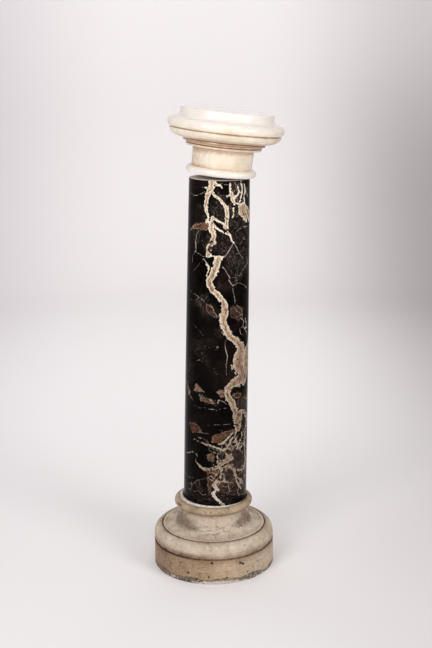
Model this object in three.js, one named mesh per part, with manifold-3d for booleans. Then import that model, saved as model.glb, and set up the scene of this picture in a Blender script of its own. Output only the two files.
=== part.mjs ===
// A free-standing marble column: a turned limestone base, a bed of plaster, a black marble
// shaft with gold veins and a white marble capital that has settled askew on it.
// Millimetres, +Z up, front towards -Y. The origin is the centre of the base's underside.
import * as THREE from 'three';
import { mergeVertices } from 'three/addons/utils/BufferGeometryUtils.js';
import Module from 'manifold-3d';

const wasm = await Module();
wasm.setup();

// Facets round every turned piece, and the gap kept where two pieces meet
const facets = 48;
const contactGap = 0.3;

// Base: a plain drum, a torus, a fillet, a scotia and an astragal, cut from one block
const drumRadius = 147;
const drumHeight = 60;
const quirkWidth = 3.2;
const quirkDepth = 4;
const torusSetback = 2;
const torusFullness = 19.7;
const torusLowerRise = 11;
const torusUpperRise = 24.5;
const filletGrooveWidth = 2.5;
const filletGrooveDepth = 3;
const filletLip = 1.6;
const filletWidth = 4.5;
const scotiaNeckRadius = 82;
const scotiaHollowRadius = 111;
const scotiaDip = 2.4;
const scotiaHeight = 47.7;
const astragalRadius = 95.3;
const astragalHeight = 17.2;
const astragalFilletHeight = 2;

// Plaster bed between base and shaft: a low wedge, thickest under the raised side of the shaft
const bedRadius = 82.5;
const bedThicknessMiddle = 3.8;

// Shaft: tapered with a slight entasis, and flared at its foot
const shaftLength = 777.5;
const shaftTopRadius = 70.4;
const shaftFootRadius = 76.9;
const entasis = 1;
const footFlare = 3;
const footBandHeight = 4;
const footSweepHeight = 12;
const topArris = 1;
const shaftLeanRight = THREE.MathUtils.degToRad(1.33);
const shaftShiftRight = 4;

// Capital: collar, neck, bead, cavetto, ovolo, rim, cove and a raised round table
const collarRadius = 81.6;
const collarHeight = 17.4;
const neckFootRadius = 69.9;
const neckTopRadius = 70.9;
const neckHeight = 39.4;
const neckSweepOut = 4.4;
const neckSweepHeight = 3.2;
const beadRadius = 87;
const beadUnderside = 2.2;
const beadHeight = 4;
const beadStep = 0.8;
const cavettoRadius = 93.8;
const cavettoHeight = 6.6;
const cavettoFilletRadius = 95.3;
const cavettoFilletHeight = 6.2;
const ovoloFootRadius = 98.3;
const ovoloTopRadius = 129.6;
const ovoloHeight = 19.5;
const rimGrooveDepth = 4;
const rimGrooveWidth = 2.8;
const rimRadius = 134.5;
const rimLowerRise = 10;
const rimLowerFullness = 5.5;
const rimUpperRise = 11.5;
const rimUpperFullness = 11;
const coveStep = 1;
const coveFootRadius = 121;
const coveHeight = 9;
const tableRadius = 107.9;
const tableSide = 11.7;
const tableEdge = 1.6;
const capitalTiltRight = THREE.MathUtils.degToRad(6.72);
const capitalShiftRight = 2.8;

// The break in the collar: its place round the collar, left of the front, its slope and its depth
const breakAngle = THREE.MathUtils.degToRad(46);
const breakSlope = THREE.MathUtils.degToRad(32);
const breakDepth = 3.4;

const limestone = new THREE.MeshStandardMaterial({ color: 0xb3a086, roughness: 0.75, metalness: 0 });
const plaster = new THREE.MeshStandardMaterial({ color: 0xd8d2c8, roughness: 0.9, metalness: 0 });
const blackMarble = new THREE.MeshStandardMaterial({ color: 0x15120f, roughness: 0.16, metalness: 0 });
const whiteMarble = new THREE.MeshStandardMaterial({ color: 0xece0c8, roughness: 0.3, metalness: 0 });

// Points of an elliptical arc in the profile plane, both ends included, angles in degrees
function arc(centreRadius, centreHeight, across, up, fromAngle, toAngle, steps) {
  return Array.from({ length: steps + 1 }, (_, i) => {
    const angle = THREE.MathUtils.degToRad(fromAngle + ((toAngle - fromAngle) * i) / steps);
    return [centreRadius + across * Math.cos(angle), centreHeight + up * Math.sin(angle)];
  });
}

// Points of a shallow curve from one profile point to another, bowed to its right by the bulge
function bow(from, to, bulge, steps) {
  const [dr, dh] = [to[0] - from[0], to[1] - from[1]];
  const chord = Math.hypot(dr, dh);
  return Array.from({ length: steps + 1 }, (_, i) => {
    const t = i / steps;
    const out = 4 * bulge * t * (1 - t);
    return [from[0] + dr * t + (out * dh) / chord, from[1] + dh * t - (out * dr) / chord];
  });
}

// Turns a profile of [radius, height] points, listed upwards from the axis to the axis, about +Z
function turned(profile) {
  const points = profile.map(([radius, height]) => new THREE.Vector2(radius, height));
  return new THREE.LatheGeometry(points, facets).rotateX(Math.PI / 2);
}

function toSolid(geometry) {
  const bare = geometry.clone();
  bare.deleteAttribute('normal');
  bare.deleteAttribute('uv');
  const merged = mergeVertices(bare, 1e-4);
  const vertProperties = new Float32Array(merged.attributes.position.array);
  const corners = merged.index.array;
  const triangles = [];
  for (let i = 0; i < corners.length; i += 3) {
    const [a, b, c] = [corners[i], corners[i + 1], corners[i + 2]];
    if (a !== b && b !== c && c !== a) triangles.push(a, b, c);
  }
  const triVerts = new Uint32Array(triangles);
  return new wasm.Manifold(new wasm.Mesh({ numProp: 3, vertProperties, triVerts }));
}

function toGeometry(solid) {
  const { vertProperties, triVerts } = solid.getMesh();
  const geometry = new THREE.BufferGeometry();
  geometry.setAttribute('position', new THREE.BufferAttribute(vertProperties, 3));
  geometry.setIndex(new THREE.BufferAttribute(triVerts, 1));
  const flat = geometry.toNonIndexed();
  flat.computeVertexNormals();
  return flat;
}

// Heights of the base's mouldings, worked up from the floor
const torusFoot = drumHeight + quirkWidth;
const torusWaist = torusFoot + torusLowerRise;
const torusTop = torusWaist + torusUpperRise;
const torusTopRadius = drumRadius - torusFullness;
const lipRadius = torusTopRadius - filletGrooveWidth;
const lipHeight = torusTop + filletLip;
const scotiaTop = lipHeight + scotiaHeight;
const astragalFoot = scotiaTop + astragalFilletHeight;
const baseHeight = astragalFoot + astragalHeight;

function baseProfile() {
  const scotiaAcross = scotiaHollowRadius - scotiaNeckRadius;
  const scotiaUp = scotiaHeight + scotiaDip;
  const startCosine = (lipRadius - filletWidth - scotiaHollowRadius) / scotiaAcross;
  const scotiaStart = THREE.MathUtils.radToDeg(Math.acos(startCosine));
  const roll = astragalHeight / 2;
  const torusStart = -THREE.MathUtils.radToDeg(Math.acos(1 - torusSetback / torusFullness));
  const torusLowerScale = torusLowerRise / Math.sin(THREE.MathUtils.degToRad(-torusStart));
  return [
    [0, 0],
    [drumRadius, 0],
    [drumRadius, drumHeight],
    [drumRadius - quirkDepth, drumHeight],
    [drumRadius - quirkDepth, torusFoot],
    ...arc(torusTopRadius, torusWaist, torusFullness, torusLowerScale, torusStart, 0, 2),
    ...arc(torusTopRadius, torusWaist, torusFullness, torusUpperRise, 15, 90, 5),
    [torusTopRadius, torusTop - filletGrooveDepth],
    [lipRadius, torusTop - filletGrooveDepth],
    [lipRadius, lipHeight],
    ...arc(scotiaHollowRadius, scotiaTop, scotiaAcross, scotiaUp, -scotiaStart, -180, 7),
    [scotiaNeckRadius, astragalFoot],
    ...arc(astragalRadius - roll, astragalFoot + roll, roll, roll, -90, 90, 7),
    [0, baseHeight],
  ];
}

function shaftProfile() {
  const sweepTop = footBandHeight + footSweepHeight;
  const bodyFoot = [shaftFootRadius, sweepTop];
  const bodyTop = [shaftTopRadius, shaftLength - topArris];
  return [
    [0, 0],
    [shaftFootRadius + footFlare, 0],
    ...arc(shaftFootRadius + footFlare, sweepTop, footFlare, footSweepHeight, -90, -180, 4),
    ...bow(bodyFoot, bodyTop, entasis, 5).slice(1),
    [shaftTopRadius - topArris, shaftLength],
    [0, shaftLength],
  ];
}

// Heights of the capital's mouldings above its own foot
const neckTop = collarHeight + neckHeight;
const beadFoot = neckTop + neckSweepHeight + beadUnderside;
const beadTop = beadFoot + beadHeight;
const cavettoTop = beadTop + cavettoHeight;
const ovoloFoot = cavettoTop + cavettoFilletHeight;
const ovoloTop = ovoloFoot + ovoloHeight;
const rimFoot = ovoloTop + rimGrooveWidth;
const rimWaist = rimFoot + rimLowerRise;
const rimTop = rimWaist + rimUpperRise;
const coveFoot = rimTop + coveStep;
const coveTop = coveFoot + coveHeight;
const tableTop = coveTop + tableSide + tableEdge;

function capitalProfile() {
  const roll = collarHeight / 2;
  const rimBody = rimRadius - rimUpperFullness;
  return [
    [0, 0],
    ...arc(collarRadius - roll, roll, roll, roll, -90, 90, 7),
    [neckFootRadius, collarHeight],
    [neckTopRadius, neckTop],
    [neckTopRadius + neckSweepOut, neckTop + neckSweepHeight],
    [beadRadius, beadFoot],
    [beadRadius, beadTop],
    ...arc(cavettoRadius, beadTop, cavettoRadius - beadRadius - beadStep, cavettoHeight, 180, 90, 3),
    [cavettoFilletRadius, cavettoTop],
    [cavettoFilletRadius, ovoloFoot],
    ...arc(ovoloFootRadius, ovoloTop, ovoloTopRadius - ovoloFootRadius, ovoloHeight, -90, 0, 7),
    [ovoloTopRadius - rimGrooveDepth, ovoloTop],
    [ovoloTopRadius - rimGrooveDepth, rimFoot],
    ...arc(rimRadius - rimLowerFullness, rimWaist, rimLowerFullness, rimLowerRise, -90, 0, 3),
    ...arc(rimBody, rimWaist, rimUpperFullness, rimUpperRise, 22.5, 90, 3),
    [rimBody - coveStep, coveFoot],
    ...arc(coveFootRadius, coveTop, coveFootRadius - tableRadius - 1, coveHeight, -90, -180, 3),
    [tableRadius, coveTop],
    [tableRadius, coveTop + tableSide],
    [tableRadius - tableEdge, tableTop],
    [0, tableTop],
  ];
}

// A block whose near face is the plane of the break, lying outside and below the collar
function collarBreak() {
  const roll = collarHeight / 2;
  const side = 4 * collarHeight;
  const block = new THREE.BoxGeometry(side, side, side);
  const reach = roll - breakDepth + side / 2;
  block.translate(0, -reach, 0);
  block.rotateX(breakSlope);
  block.translate(0, -(collarRadius - roll), roll);
  block.rotateZ(-breakAngle);
  return toSolid(block);
}

// The wedge of plaster: level below, and above it follows the foot of the leaning shaft
function bedGeometry() {
  const height = bedThicknessMiddle;
  const geometry = turned([[0, 0], [bedRadius, 0], [bedRadius, height], [0, height]]);
  const position = geometry.attributes.position;
  for (let i = 0; i < position.count; i += 1) {
    const onTop = position.getZ(i) > height / 2;
    const fall = Math.tan(shaftLeanRight) * (position.getX(i) - shaftShiftRight);
    if (onTop) position.setZ(i, position.getZ(i) - fall);
  }
  geometry.computeVertexNormals();
  return geometry;
}

// Where the centre of the tilted capital's foot stands when it just clears the shaft's right edge
function restOnShaft(shaftTopCentre) {
  const edgeX = shaftTopRadius * Math.cos(shaftLeanRight) + contactGap * Math.sin(capitalTiltRight);
  const edgeZ = -shaftTopRadius * Math.sin(shaftLeanRight) + contactGap * Math.cos(capitalTiltRight);
  const rise = edgeZ + (edgeX - capitalShiftRight) * Math.tan(capitalTiltRight);
  return shaftTopCentre.clone().add(new THREE.Vector3(capitalShiftRight, 0, rise));
}

function named(name, geometry, material) {
  const mesh = new THREE.Mesh(geometry, material);
  mesh.name = name;
  return mesh;
}

const base = named('base', turned(baseProfile()), limestone);

const bed = named('plaster_bed', bedGeometry(), plaster);
bed.position.z = baseHeight + contactGap;

const shaft = named('shaft', turned(shaftProfile()), blackMarble);
shaft.rotation.y = shaftLeanRight;
shaft.position.set(shaftShiftRight, 0, bed.position.z + bedThicknessMiddle + contactGap);

const capitalSolid = toSolid(turned(capitalProfile())).subtract(collarBreak());
const capital = named('capital', toGeometry(capitalSolid), whiteMarble);
capital.rotation.y = capitalTiltRight;
const shaftTopCentre = new THREE.Vector3(0, 0, shaftLength).applyEuler(shaft.rotation).add(shaft.position);
capital.position.copy(restOnShaft(shaftTopCentre));

const column = new THREE.Group();
column.add(base, bed, shaft, capital);

export default column;
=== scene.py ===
"""A free-standing marble column on a pale studio floor.

A worn limestone base, a wedge of plaster, a black marble shaft with cream and gold veins and a
white marble capital that has settled askew. Sizes are in millimetres, and each finished mesh is
scaled to metres. Front is -Y, up is +Z, and the origin is the centre of the base's underside.
"""

import math

import bpy
import numpy as np
from mathutils import Matrix, Vector, noise


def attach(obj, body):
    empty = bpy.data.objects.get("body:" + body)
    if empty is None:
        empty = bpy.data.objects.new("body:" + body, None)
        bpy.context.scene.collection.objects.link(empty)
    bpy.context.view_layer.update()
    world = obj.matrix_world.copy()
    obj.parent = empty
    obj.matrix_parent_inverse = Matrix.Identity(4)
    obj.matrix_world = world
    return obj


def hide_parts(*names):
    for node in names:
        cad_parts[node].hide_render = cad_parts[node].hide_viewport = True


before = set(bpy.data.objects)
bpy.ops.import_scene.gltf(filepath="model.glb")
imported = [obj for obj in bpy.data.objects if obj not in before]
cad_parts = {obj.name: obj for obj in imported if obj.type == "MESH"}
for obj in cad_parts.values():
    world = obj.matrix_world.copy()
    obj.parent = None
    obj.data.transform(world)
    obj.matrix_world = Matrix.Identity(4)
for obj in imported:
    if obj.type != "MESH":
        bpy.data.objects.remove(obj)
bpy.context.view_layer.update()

MM = 0.001
# Nearer to its axis than this, a turned surface does not waver
STILL_RADIUS = 20
SHAFT_RADIUS = 73
SHAFT_MM_PER_DEGREE = 1.3
DRUM_MM_PER_DEGREE = 2.56

# Base
DRUM_RADIUS = 147
DRUM_HEIGHT = 60
QUIRK_WIDTH = 3.2
QUIRK_DEPTH = 4
TORUS_SETBACK = 2
TORUS_FULLNESS = 19.7
TORUS_LOWER_RISE = 11
TORUS_UPPER_RISE = 24.5
GROOVE_WIDTH = 2.5
GROOVE_DEPTH = 3
LIP_RISE = 1.6
FILLET_WIDTH = 4.5
SCOTIA_NECK = 82
SCOTIA_HOLLOW = 111
SCOTIA_DIP = 2.4
SCOTIA_HEIGHT = 47.7
ASTRAGAL_RADIUS = 95.3
ASTRAGAL_HEIGHT = 17.2
ASTRAGAL_FILLET = 2
CONTACT = 0.3

# Plaster bed
BED_RADIUS = 82.5
BED_THICKNESS = 3.8

# Shaft
SHAFT_LENGTH = 777.5
SHAFT_TOP = 70.4
SHAFT_FOOT = 76.9
ENTASIS = 1
FOOT_FLARE = 3
FOOT_BAND = 4
FOOT_SWEEP = 12
TOP_ARRIS = 1
SHAFT_LEAN = math.radians(1.33)
SHAFT_SHIFT = 4

# Capital
COLLAR_RADIUS = 81.6
COLLAR_HEIGHT = 17.4
NECK_FOOT = 69.9
NECK_TOP = 70.9
NECK_HEIGHT = 39.4
NECK_SWEEP_OUT = 4.4
NECK_SWEEP = 3.2
BEAD_RADIUS = 87
BEAD_UNDERSIDE = 2.2
BEAD_HEIGHT = 4
BEAD_STEP = 0.8
CAVETTO_RADIUS = 93.8
CAVETTO_HEIGHT = 6.6
CAVETTO_FILLET_RADIUS = 95.3
CAVETTO_FILLET = 6.2
OVOLO_FOOT = 98.3
OVOLO_TOP = 129.6
OVOLO_HEIGHT = 19.5
RIM_GROOVE_DEPTH = 4
RIM_GROOVE = 2.8
RIM_RADIUS = 134.5
RIM_LOWER = 10
RIM_LOWER_FULLNESS = 5.5
RIM_UPPER = 11.5
RIM_UPPER_FULLNESS = 11
COVE_STEP = 1
COVE_FOOT = 121
COVE_HEIGHT = 9
TABLE_RADIUS = 107.9
TABLE_SIDE = 11.7
TABLE_EDGE = 1.6
CAPITAL_TILT = math.radians(6.72)
CAPITAL_SHIFT = 2.8
BREAK_ANGLE = 46
BREAK_SLOPE = 32
BREAK_DEPTH = 3.4


def table(text):
    """Rows of entries. A comma parts two entries, and at the end of a line the row goes on.

    An entry that leaves out its last number keeps the one before."""
    rows = []
    for row in text.strip().replace(",\n", ",").split("\n"):
        entries = [()]
        for entry in row.split(","):
            numbers = tuple(float(number) for number in entry.split())
            entries.append(numbers + entries[-1][len(numbers):])
        rows.append(entries[1:])
    return rows


# The bold veins on the seen side: degrees round from the front, height and half width
BOLD_VEINS = table("""
-14 779 11, -14 769 9.5, -17 758 6.6
-10 770 4, 0 768 2.6, 4 761 1.6
-21 755 5.6, -23 742 5.2, -25 728 4.6, -25 714 3.8, -22 702 3, -20 693 2.8, -24 683 2
-15 756 2.8, -9 743, 0 736 2.6, 5 728 3, 11 718 3.3, 14 708 4.9, 14 694, 13 682, 12 672 5.3, 14 661 3.7,
21 653 1.9, 23 644, 28 636
-12 694 3.6, -3 687 1.8, 6 682 1.9, 11 675
-12 679 2.8, -5 671 2.4, 2 665 1.8, 10 662 2.4
-11 693 2.8, -15 681 5.8, -14 669 6.5, -9 654 5.7, -12 638 6.5, -18 625 6.6, -18 613 6.2, -19 605 5
-22 605 1.5, -12 605 1, -2 605 1.2, 8 605 1.4
0 604 8.1, -2 593, -5 580 7.5, -9 564 7.3, -17 548 6.8, -13 535 6.7, -9 524, 0 516 6.1, 6 505 6.3,
12 491 7.3, 13 477 8.1, 9 461 8.5, 11 447, 16 431 8.2, 24 415 8
23 416 7.1, 37 403 8.6, 48 388 12.4, 48 376 12.9, 45 361 18.6, 44 345 18.9, 54 324 14.5, 49 312 16.5,
33 304 11, 22 293 7.9, 18 280 6.6, 23 267 7.2, 30 255 7, 32 241 6.6, 39 229 11.2, 43 216 13, 42 202 11,
43 188 7.2
80 402 2, 76 388 5.5, 69 372 10.5, 66 352 13, 68 332 12, 63 314 10.5, 58 298 7
70 372 4, 84 360 3.4, 90 346 2, 99 340 1
46 227 6.3, 60 225 4.6, 75 205 5.5, 76 187 5.7, 59 180 3.3, 55 168 2.7
20 771 2, 20 758 2.5, 23 746 3.2, 25 734 4, 29 726 3.4
22 748 2.4, 15 741 1.2, 12 744 0.9
26 737 2.6, 34 743 1.7, 38 752 1.4, 36 764 1.2
30 722 2.2, 26 712 1.8, 27 700 1.2, 24 690 0.9
29 726 2.6, 36 727 2, 41 720 3.3, 47 713 12, 52 703 13.5, 56 692 8, 61 684 4.7
44 774 1.9, 47 760 2.2, 45 745 2.1, 40 728 1.6
50 722 4, 60 712 6.5, 69 698 8, 74 684 5
53 768 1.3, 56 752 1.8, 52 738 1.5, 55 722 2
17 722 1.4, 16 714 1.9, 15 707
8 96 2.8, 11 80 2.2, 7 67 3.4, -4 53 2.6, 4 41 4.6, -5 31 3.6, 2 19 2.8, 14 1 3.6
-37 103 1.1, -25 93 3, -13 90 3.7, -2 95 3.6, 9 105 4.4, 21 114 5.4, 28 123 4.3, 31 115 3.5
1 106 1.4, 5 117 1.6, 2 129 1.2, -4 135
9 95 3.3, 12 81 2.4
31 98 3, 36 86 4, 39 71 2.1, 42 54 1.6, 55 30
-13 154 1.6, -5 149 1.9, 5 145, 13 139 1.6, 22 149 1.9, 27 162, 36 174 2, 40 187 2.7
-44 160 1.2, -34 158 1.5, -24 155 1.3, -13 151 1.7
3 155 1.4, 11 157 2.4, 19 165 1.9, 27 176 1.5, 34 183 1.3
55 173 2.7, 52 161 3.1, 47 150 2.4, 40 139 2.1, 52 138 1.6, 61 149 2.3, 69 162 4.1
67 169 4.5, 63 148 4.2, 66 124 3.8, 72 98 4.3, 65 84 3.7, 57 78 2.4, 44 83 1.9
-32 762 1.1, -27 762 1.3, -23 760 1.7
-22 586 1.9, -18 583, -18 574 1.5, -22 559 0.8
""")

# The fine veins on the seen side, in the same way
FINE_VEINS = table("""
-66 745 0.6, -55 740 0.5, -45 742, -33 748 0.6, -26 754 0.5
-64 659 0.8, -56 667 0.9, -45 675 1, -32 678 0.5, -23 677
-47 667 0.8, -41 663 0.7, -32 663 0.5, -23 665
-39 662 0.9, -45 651 0.8, -47 634, -46 616 0.6, -55 602 0.4, -56 586
-50 613 0.5, -38 609 0.6, -29 604 0.5, -21 602
-29 599 0.5, -39 583 0.4, -54 565 0.5
-29 599 0.5, -24 592 0.8, -19 584 1.1
28 636 1.1, 22 625 1.2, 16 613, 9 604
29 635 0.7, 37 620, 43 606 0.6, 52 596 0.5
21 660 0.5, 34 662 0.6, 46 669, 65 671 0.8
6 582 0.5, 12 575 0.7, 17 565, 21 555 0.8, 32 556 0.5, 42 557 0.6, 49 570 0.8, 70 585 1.3
19 552 0.8, 23 543, 27 537, 40 542 0.7, 51 537 0.8, 65 525 1.2
27 532 0.4, 29 519, 32 505 0.5, 32 494 0.4
-62 517 0.6, -46 512, -31 505 0.5, -20 494 0.7, -10 486 0.5, -2 465
-59 498 0.5, -42 500, -35 509 0.4, -28 514 0.3
-21 494 0.5, -21 480, -12 469, -2 463
23 480 0.5, 31 485 0.7, 36 476, 50 465 0.8, 36 462 0.6, 25 460 0.5
36 490 0.4, 47 479 0.7, 52 465, 49 453 0.5
0 772 0.5, 9 769 0.4, 20 770 0.5
28 774 0.5, 33 766 0.4, 39 771 0.6
64 761 0.8, 61 748 1, 67 736 0.8
-53 442 0.4, -38 432 0.3, -26 418
18 722 0.5, 22 727, 27 728 0.7
15 409 0.5, 14 392 0.7, 16 382, 19 371, 16 349, 17 324 0.5
-16 391 0.3, -5 394 0.4, 3 393, -5 385
46 458 0.6, 56 447 1, 52 436 0.8, 61 428 1.1, 74 432 0.8
60 455 0.8, 66 440 1, 61 426 0.8, 70 414 1.2, 64 405 0.8
52 436 0.7, 44 430 0.6, 47 419 0.7, 56 414 0.6
-40 354 0.4, -34 359 0.6, -27 355 0.4
-6 343 0.1, -5 334, 1 327, 8 330
-49 246 0.3, -34 243 0.6, -16 243 0.5, 0 239, 18 245 0.4
-24 261 0.7, -8 257, 1 250 0.5, 3 265 0.7, 12 261, 20 253 0.5
-15 201 0.3, 3 204 0.4, 27 204
-30 166 0.6, -16 163 0.9, -13 154 0.7
-35 169 0.6, -23 168 0.5, -16 154, -3 142 0.7, 9 137 0.5
-66 116 1.1, -48 128, -39 126 0.9, -35 119 0.8
-38 114 0.9, -39 105, -31 96
-65 41 0.9, -47 44, -31 62, -20 66 0.7, -13 63 0.6
-60 30 0.7, -44 26 0.8, -33 33 0.6, -22 24 0.7, -12 30 0.5
-70 66 0.6, -58 58 0.7, -44 62 0.6
-31 62 0.8, -29 50 0.7, -34 38 0.5
-50 50 0.7, -48 39 0.8, -52 28 0.6
-16 163 0.5, -11 150, -13 139, -3 135 0.7, 5 130, 17 133 0.5
24 149 0.7, 31 139 0.5, 27 126 0.7
38 160 0.7, 30 153 0.5, 26 143 0.7
14 90 0.7, 24 91 0.5, 35 86 0.8
32 23 0.4, 42 25 0.5, 59 14, 85 11 1.1
4 44 0.4, 19 37, 32 43, 42 51 0.6
-14 85 0.5, -12 69, -15 52, -12 38
56 212 1.2, 51 200 1, 57 181 1.1, 52 175 1
-19 625 0.4, -14 618 0.5, -18 610 0.4
47 72 0.8, 62 72 1, 66 52, 54 43 0.8, 42 51 0.6
5 191 0.4, 21 185 0.5, 40 188 0.6
-33 276 0.6, -29 268 0.8, -31 261 0.6, -25 257 0.7
-28 275 0.6, -24 268 0.9, -20 266 0.6
-33 266 0.5, -26 262 0.9, -18 257 0.7, -10 262 0.8, -4 256, 4 262 0.7
-62 268 0.6, -52 262 0.8, -46 256 0.6
-32 183 0.8, -20 180 0.9, -8 182 0.7
10 50 0.7, 20 47 0.9, 30 52 0.7, 41 60 0.8
18 30 0.6, 30 34 0.8, 41 30 0.6, 52 38 0.8, 66 34 0.7
24 47 0.6, 27 36 0.7, 22 24 0.6
44 50 0.6, 48 38 0.8, 44 26 0.6, 50 14
60 52 0.7, 64 40, 60 28 0.6
""")

# Fragments set in the black, by their tint: outlines of degrees and heights
FRAGMENTS = {
    "pink": table("""
-40 300, -46 281, -25 282, -20 274, -26 285
-2 283, 6 289, 13 288, 13 271, 8 272, 4 280
-15 127, -9 132, -2 126, -3 114, -8 112, -14 116
"""),
    "tan": table("""
-71 295, -61 267, -54 272, -62 283
-25 93, -13 93, -2 98, 1 87, -12 83, -20 86
"""),
    "rust": table("""
-33 272, -24 265, -14 263, -5 261, -6 255, -18 258, -28 263
-57 198, -38 200, -26 186, -31 180, -47 177
-58 669, -45 677, -32 681, -20 679, -21 668, -32 665, -43 667, -54 663
-13 69, 4 58, -6 50, -11 32, -14 52
29 275, 39 279, 50 275, 48 266, 36 265
"""),
    "orange": table("""
-7 160, -5 177, 9 183, 30 189, 35 185, 15 171, 5 159
"""),
    "smoke": table("""
-22 494, -12 490, -1 466, -2 461, -12 469, -21 480
22 486, 30 489, 44 485, 57 479, 46 471, 53 461, 41 452, 33 459, 25 461
44 84, 62 80, 69 64, 53 57, 42 68
4 53, 23 56, 42 48, 85 31, 83 6, 32 23, 6 36
"""),
    "grey": table("""
31 136, 47 133, 63 114, 57 91, 39 88, 29 106
14 87, 31 88, 35 70, 32 54, 18 66
39 256, 57 262, 83 241, 74 222, 45 233
"""),
}

# Long veins on the unseen side: degrees, height at the top and at the bottom, and half width
LONG_VEINS_BEHIND = table("""
148 779 470 6, 236 640 250 4.5, 168 430 60 7, 112 300 10 3.5, 215 180 0 5
""")[0]

# The height of a slip in the black stone, where the bold vein is cut off flat
SLIP = 604.5

# Greyer places in the black; the broad ones high on the seen side also stand for a painted reflection:
# strength, degrees, height, reach in degrees and in height
SMOKY_AND_SHEEN = table("""
0.55 -20 690 50 90, 0.7 42 640 36 120, 0.9 42 700 22 60, 0.7 0 728 9 22, 0.6 -38 636 12 24,
0.7 -34 500 26 34, 0.5 40 600 26 50, 0.6 2 425 16 22, 0.7 -32 376 26 40, 0.1 4 330 20 24,
0.9 62 250 22 34, 0.7 50 110 30 50, 0.9 -34 26 40 34, 0.8 30 24 40 26, 0.6 -60 300 14 80,
0.5 130 600 40 120, 0.6 200 350 50 90, 0.6 -110 520 30 140, 0.6 175 60 60 50, 0.5 -150 690 40 60
""")[0]

# Places where the veins are shattered, in the same way
SHATTERED = table("""
0.7 36 735 22 34, 0.8 46 640 18 30, 0.6 20 668 12 20, 0.7 -14 620 10 16, 0.9 56 205 22 34,
0.9 40 120 40 50, 0.7 0 60 30 50, 0.6 150 300 40 90
""")[0]

# Places where the black is broken up small, in the same way
BROKEN = table("""
1 30 132 30 46, 0.8 10 70 34 30, 0.62 38 748 26 36, 0.5 52 640 16 30, 0.62 62 250 22 30,
0.75 60 60 30 44, 0.6 -16 262 24 12, 0.8 140 120 40 60, 0.6 200 430 30 40
""")[0]

# Soot in the base's hollow, in the same way
SOOT = table("""
1.1 -68 120 48 20, 0.95 66 122 32 20, 0.75 168 122 30 14, 0.5 -34 112 12 6, 0.35 36 118 14 8,
0.5 84 118 14 9
""")[0]

# Pits in the drum: degrees round from the front, height and radius
PITS = table("""
-2 55 3, 25 49 2.6, 28 45.5 2.8, -25 25 2.3, -5 19 2, 12 16 1.9, -45 36 1.6, -33 47 1.5, -16 12 1.7,
33 22 1.7, 45 40 1.5, 64 44 1.5, 40 30 1.2, 95 30 2, 140 46 1.8, 171 22 2.2, -150 38 1.7, -118 20 1.9
""")[0]

# Scratches across the scotia, as the veins are given
SCRATCHES = table("""
-22 118 0.5, -12 121 0.8, -4 117 0.5
-26 112 0.5, -15 110 0.9, -8 113 0.5, 2 111 0.4
4 122 0.4, 10 116 0.8, 18 119 0.5, 26 124
-14 106 0.5, 2 105 0.6, 12 108 0.5
14 110 0.5, 22 107, 27 112 0.4
""")


def arc(centre_radius, centre_height, across, up, start, end, steps=12):
    """Points of an elliptical arc of a profile, angles in degrees."""
    angles = np.radians(np.linspace(start, end, steps + 1))
    return [(centre_radius + across * math.cos(a), centre_height + up * math.sin(a)) for a in angles]


def bow(start, end, bulge, steps=60):
    """Points of a shallow curve from one profile point to another, bowed to its right."""
    (r0, h0), (r1, h1) = start, end
    chord = math.hypot(r1 - r0, h1 - h0)
    points = []
    for t in np.linspace(0, 1, steps + 1):
        out = 4 * bulge * t * (1 - t)
        radius = r0 + (r1 - r0) * t + out * (h1 - h0) / chord
        points.append((radius, h0 + (h1 - h0) * t - out * (r1 - r0) / chord))
    return points


def blunted(profile, wear):
    """The profile with its sharp corners worn to small rounds."""
    worn = [profile[0]]
    for before, here, after in zip(profile, profile[1:], profile[2:]):
        a, b, c = (np.array(p, float) for p in (before, here, after))
        into, away = b - a, c - b
        turn = abs(into[0] * away[1] - into[1] * away[0]) / (np.linalg.norm(into) * np.linalg.norm(away))
        if turn < 0.4:
            worn.append(here)
            continue
        start = b - into * min(0.4, wear / np.linalg.norm(into))
        end = b + away * min(0.4, wear / np.linalg.norm(away))
        for t in (0, 0.33, 0.67, 1):
            worn.append(tuple(start * (1 - t) ** 2 + 2 * b * t * (1 - t) + end * t * t))
    return worn + [profile[-1]]


def stepped(profile, step, flat_step=20):
    """The profile with points no further apart than the step, and few across its two flat ends."""
    points = [profile[0]]
    for start, end in zip(profile, profile[1:]):
        flat = abs(start[1] - end[1]) < 1e-6 and min(start[0], end[0]) < 60
        count = max(1, math.ceil(math.dist(start, end) / (flat_step if flat else step)))
        points += [tuple(np.array(start) + (np.array(end) - start) * k / count) for k in range(1, count + 1)]
    return points


TORUS_FOOT = DRUM_HEIGHT + QUIRK_WIDTH
TORUS_WAIST = TORUS_FOOT + TORUS_LOWER_RISE
TORUS_TOP = TORUS_WAIST + TORUS_UPPER_RISE
TORUS_TOP_RADIUS = DRUM_RADIUS - TORUS_FULLNESS
LIP_RADIUS = TORUS_TOP_RADIUS - GROOVE_WIDTH
LIP_HEIGHT = TORUS_TOP + LIP_RISE
SCOTIA_TOP = LIP_HEIGHT + SCOTIA_HEIGHT
ASTRAGAL_FOOT = SCOTIA_TOP + ASTRAGAL_FILLET
BASE_HEIGHT = ASTRAGAL_FOOT + ASTRAGAL_HEIGHT


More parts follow.
